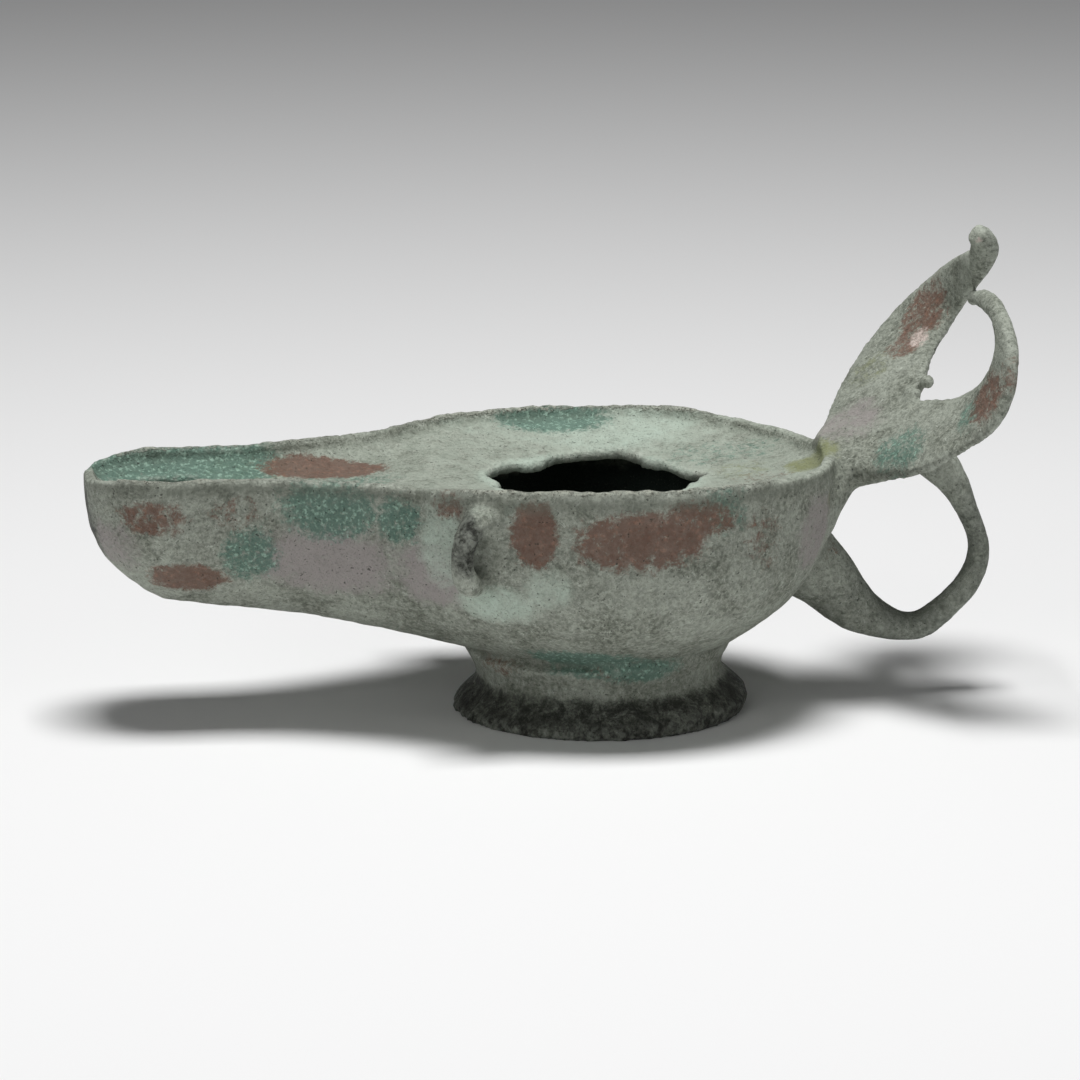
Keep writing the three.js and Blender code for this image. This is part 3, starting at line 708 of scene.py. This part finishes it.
class Patina:
    """The bronze's patina: a mottled ground, tinted areas led by the masks, crust, grain and pits, and
    painted shade.
    """

    def __init__(self, colours: PatinaColours) -> None:
        """Keeps the colours and makes the shared group."""
        self.colours = colours
        self.broken = broken_tint()

    def material(self) -> bpy.types.Material:
        """Builds the material."""
        made = bpy.data.materials.new("bronze_patina")
        made.use_nodes = True
        tree = made.node_tree
        tree.nodes.clear()
        sheet = NodeSheet(tree)
        place = sheet.add("ShaderNodeTexCoord").outputs["Object"]
        scaled = sheet.add("ShaderNodeMapping")
        scaled.inputs["Scale"].default_value = (1000.0, 1000.0, 1000.0)
        sheet.link(place, scaled.inputs["Vector"])
        where = scaled.outputs["Vector"]
        colour = self.ground(sheet, where)
        colour, crust = self.tints(sheet, where, colour)
        shader = sheet.add("ShaderNodeBsdfPrincipled")
        sheet.link(colour, shader.inputs["Base Color"])
        shader.inputs["Metallic"].default_value = 0.0
        shader.inputs["IOR"].default_value = 1.45
        shader.inputs["Specular IOR Level"].default_value = 0.35
        sheet.link(self.roughness(sheet, where), shader.inputs["Roughness"])
        sheet.link(self.bump(sheet, where, crust), shader.inputs["Normal"])
        out = sheet.add("ShaderNodeOutputMaterial")
        sheet.link(shader.outputs["BSDF"], out.inputs["Surface"])
        return made

    def ground(self, sheet: NodeSheet, where: bpy.types.NodeSocket) -> bpy.types.NodeSocket:
        """The mottled grey-green under the tints."""
        c = self.colours
        broad = sheet.band(sheet.noise(where, 0.13, 5.0, 0.62, 0.6), 0.36, 0.64)
        fine = sheet.band(sheet.noise(where, 1.3, 7.0, 0.74), 0.38, 0.62)
        colour = sheet.mix(fine, c.ground_dark, c.ground)
        colour = sheet.mix(sheet.math("MULTIPLY", broad, 0.35), colour, c.ground_pale)
        flecks = sheet.band(sheet.noise(where, 0.8, 8.0, 0.78, 0.4), 0.54, 0.66)
        colour = sheet.mix(sheet.math("MULTIPLY", flecks, 0.65), colour, c.ground_pale)
        dusty = sheet.band(sheet.noise(where, 0.35, 7.0, 0.72, 0.5), 0.30, 0.60)
        colour = sheet.mix(sheet.math("MULTIPLY", dusty, sheet.mask(Mask.DUST)), colour, c.dust)
        return colour

    def tint(
        self,
        sheet: NodeSheet,
        where: bpy.types.NodeSocket,
        mask: Mask,
        scale: float,
        everywhere: float,
        soft: float,
    ) -> bpy.types.NodeSocket:
        """Where a tint shows: its mask, broken up by noise.

        Args:
            sheet: the node helper.
            where: position in millimetres.
            mask: the tint's mask.
            scale: size of the break-up.
            everywhere: how much of it lies outside its mask.
            soft: how soft its border is.

        Returns:
            A factor from 0 to 1.
        """
        node = sheet.add("ShaderNodeGroup", node_tree=self.broken)
        sheet.link(where, node.inputs["Position"])
        sheet.link(sheet.mask(mask), node.inputs["Mask"])
        middle = 0.92
        limits = {"Scale": scale, "Everywhere": everywhere, "Low": middle - soft, "High": middle + soft}
        for name, value in limits.items():
            node.inputs[name].default_value = value
        return node.outputs["Factor"]

    def tints(
        self, sheet: NodeSheet, where: bpy.types.NodeSocket, colour: bpy.types.NodeSocket
    ) -> tuple[bpy.types.NodeSocket, bpy.types.NodeSocket]:
        """Lays the tints and the painted shade over the ground.

        Args:
            sheet: the node helper.
            where: position in millimetres.
            colour: the ground.

        Returns:
            The colour and the crust's factor.
        """
        c = self.colours
        colour = sheet.mix(self.tint(sheet, where, Mask.MAUVE, 0.30, 0.12, 0.16), colour, c.mauve)
        colour = sheet.mix(self.tint(sheet, where, Mask.OLIVE, 0.50, 0.05, 0.14), colour, c.olive)
        colour = sheet.mix(self.tint(sheet, where, Mask.MINT, 0.22, 0.0, 0.24), colour, c.mint)
        teal = self.tint(sheet, where, Mask.TEAL, 0.75, 0.15, 0.09)
        pale = sheet.band(sheet.noise(where, 1.4, 4.0, 0.6), 0.50, 0.68)
        colour = sheet.mix(sheet.math("MULTIPLY", teal, 0.85), colour, sheet.mix(pale, c.teal, c.teal_pale))
        red = self.tint(sheet, where, Mask.RED, 0.50, 0.10, 0.08)
        bright = sheet.band(sheet.noise(where, 1.1, 5.0, 0.65), 0.50, 0.70)
        colour = sheet.mix(sheet.math("MULTIPLY", red, 0.85), colour, sheet.mix(bright, c.red, c.red_bright))
        # Painted shade: the ring handle is darkened.
        ring_shade = self.tint(sheet, where, Mask.RING_SHADE, 0.35, 0.0, 0.26)
        colour = sheet.mix(ring_shade, colour, c.ring_shade)
        # Dark metal, and painted shade on the foot, in the fork's pit and under the far horn's tip.
        colour = sheet.mix(self.tint(sheet, where, Mask.DARK, 0.35, 0.0, 0.16), colour, c.dark)
        crust = self.tint(sheet, where, Mask.CRUST, 1.0, -0.02, 0.10)
        pitted = sheet.band(sheet.noise(where, 1.9, 4.0, 0.7), 0.50, 0.60)
        colour = sheet.mix(crust, colour, sheet.mix(pitted, c.crust, c.crust_pit))
        colour = sheet.mix(self.tint(sheet, where, Mask.PALE, 1.0, -0.05, 0.12), colour, c.pale)
        patchy = sheet.band(sheet.noise(where, 0.9, 4.0), 0.4, 0.65)
        worn = sheet.math("MULTIPLY", sheet.mask(Mask.EDGE), patchy)
        colour = sheet.mix(sheet.math("MULTIPLY", worn, 0.5), colour, c.ground_pale)
        # Painted shade in the creases and under the rim.
        colour = sheet.mix(sheet.math("MULTIPLY", sheet.mask(Mask.CREASE_SHADE), 0.6), colour, c.ground_dark)
        # Deep inside the vessel the colour goes near-black: partly soot, partly painted shade.
        colour = sheet.mix(sheet.band(sheet.mask(Mask.INSIDE), 0.86, 1.0), colour, c.soot_and_shade)
        specks = sheet.band(sheet.noise(where, 2.9, 4.0, 0.75), 0.57, 0.68)
        colour = sheet.mix(sheet.math("MULTIPLY", specks, 0.7), colour, c.ground_dark)
        pores = sheet.band(sheet.noise(where, 1.6, 2.0, 0.5), 0.66, 0.72)
        colour = sheet.mix(sheet.math("MULTIPLY", pores, 0.7), colour, c.dark)
        return colour, crust

    def roughness(self, sheet: NodeSheet, where: bpy.types.NodeSocket) -> bpy.types.NodeSocket:
        """A dry surface, a little smoother under the dark mask, which holds dark metal and painted shade."""
        varied = sheet.math("MULTIPLY", sheet.noise(where, 0.7, 4.0), 0.25)
        dry = sheet.math("ADD", varied, 0.68)
        return sheet.math("SUBTRACT", dry, sheet.math("MULTIPLY", sheet.mask(Mask.DARK), 0.18))

    def bump(
        self, sheet: NodeSheet, where: bpy.types.NodeSocket, crust: bpy.types.NodeSocket
    ) -> bpy.types.NodeSocket:
        """Grain, pits and crust too fine for the mesh."""
        grainy = sheet.noise(where, 1.3, 8.0, 0.66)
        pits = sheet.band(sheet.noise(where, 2.2, 3.0, 0.6), 0.60, 0.74)
        height = sheet.math("SUBTRACT", grainy, sheet.math("MULTIPLY", pits, 0.5))
        granular = sheet.math("MULTIPLY", crust, sheet.noise(where, 2.8, 4.0, 0.7))
        height = sheet.math("ADD", height, granular)
        bump = sheet.add("ShaderNodeBump")
        bump.inputs["Strength"].default_value = 0.85
        bump.inputs["Distance"].default_value = 0.00055
        sheet.link(height, bump.inputs["Height"])
        return bump.outputs["Normal"]


@dataclass(frozen=True)
class SoftBox:
    """A soft light.

    Args:
        name: its name.
        spot: where it hangs, in metres.
        size: its width and height, in metres.
        watts: its power.
    """

    name: str
    spot: tuple[float, float, float]
    size: tuple[float, float]
    watts: float


SOFT_BOXES: tuple[SoftBox, ...] = (
    SoftBox("top", (0.0, -0.06, 0.95), (0.34, 0.26), 8.9),
    SoftBox("front_left", (-0.65, -0.80, 0.50), (0.6, 0.5), 1.7),
    SoftBox("front_right", (0.75, -0.70, 0.42), (0.5, 0.5), 0.8),
)


@dataclass
class Studio:
    """The pale floor, the soft lights and the camera. Lengths are in millimetres but for lamp_middle."""

    lamp_middle: tuple[float, float, float] = (0.0, 0.0, 0.04)
    azimuth: float = -8.0
    pitch: float = 13.1
    distance: float = 860.0
    lens: float = 168.6
    aim_right: float = -10.2
    aim_up: float = 27.7
    floor_half: float = 1500.0

    def place_camera(self, axis_x: float) -> None:
        """Sets the camera up.

        Args:
            axis_x: X of the foot's axis, in millimetres.
        """
        a, e = math.radians(self.azimuth), math.radians(self.pitch)
        back = Vector((math.sin(a) * math.cos(e), -math.cos(a) * math.cos(e), math.sin(e)))
        right = Vector((math.cos(a), math.sin(a), 0.0))
        up = back.cross(right)
        aim = Vector((axis_x, 0.0, 0.0)) + right * self.aim_right + up * self.aim_up
        spot = aim + back * self.distance
        data = bpy.data.cameras.new("camera")
        data.lens = self.lens
        data.sensor_width = 36.0
        data.clip_start = 0.05
        data.clip_end = 20.0
        camera = bpy.data.objects.new("camera", data)
        camera.matrix_world = Matrix.Translation(spot * MM) @ Matrix((right, up, back)).transposed().to_4x4()
        bpy.context.scene.collection.objects.link(camera)
        bpy.context.scene.camera = camera

    def lay_floor(self) -> None:
        """Makes the floor."""
        bm = bmesh.new()
        half = self.floor_half * MM
        bmesh.ops.create_grid(bm, x_segments=1, y_segments=1, size=half)
        mesh = bpy.data.meshes.new("floor")
        bm.to_mesh(mesh)
        bm.free()
        floor = bpy.data.objects.new("floor", mesh)
        bpy.context.scene.collection.objects.link(floor)
        paper = bpy.data.materials.new("paper")
        paper.use_nodes = True
        shader = paper.node_tree.nodes["Principled BSDF"]
        shader.inputs["Base Color"].default_value = (0.86, 0.86, 0.86, 1.0)
        shader.inputs["Roughness"].default_value = 0.9
        shader.inputs["Specular IOR Level"].default_value = 0.1
        mesh.materials.append(paper)

    def hang(self, box: SoftBox) -> None:
        """Hangs a soft light, aimed at the lamp.

        Args:
            box: the light.
        """
        data = bpy.data.lights.new(box.name, "AREA")
        data.shape = "RECTANGLE"
        data.size, data.size_y = box.size
        data.energy = box.watts
        light = bpy.data.objects.new(box.name, data)
        light.location = box.spot
        light.rotation_mode = "QUATERNION"
        back = Vector(box.spot) - Vector(self.lamp_middle)
        light.rotation_quaternion = back.to_track_quat("Z", "Y")
        light.visible_camera = False
        bpy.context.scene.collection.objects.link(light)

    def light(self) -> None:
        """Hangs the lights and sets the world's glow."""
        for box in SOFT_BOXES:
            self.hang(box)
        world = bpy.data.worlds.new("glow")
        world.use_nodes = True
        glow = world.node_tree.nodes["Background"]
        glow.inputs["Color"].default_value = (0.97, 0.98, 1.0, 1.0)
        glow.inputs["Strength"].default_value = 0.06
        bpy.context.scene.view_settings.view_transform = "Standard"
        bpy.context.scene.world = world


def main() -> None:
    """Builds the lamp and its studio."""
    studio = Studio()
    casting = LampCasting()
    studio.place_camera(casting.axis_x)
    studio.lay_floor()
    studio.light()
    lamp = casting.build()
    lamp.data.materials.clear()
    lamp.data.materials.append(Patina(PatinaColours()).material())
    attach(lamp, "root")
    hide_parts(NODE)
    log.info("lamp: %d triangles", sum(len(p.vertices) - 2 for p in lamp.data.polygons))


if __name__ == "__main__":
    main()
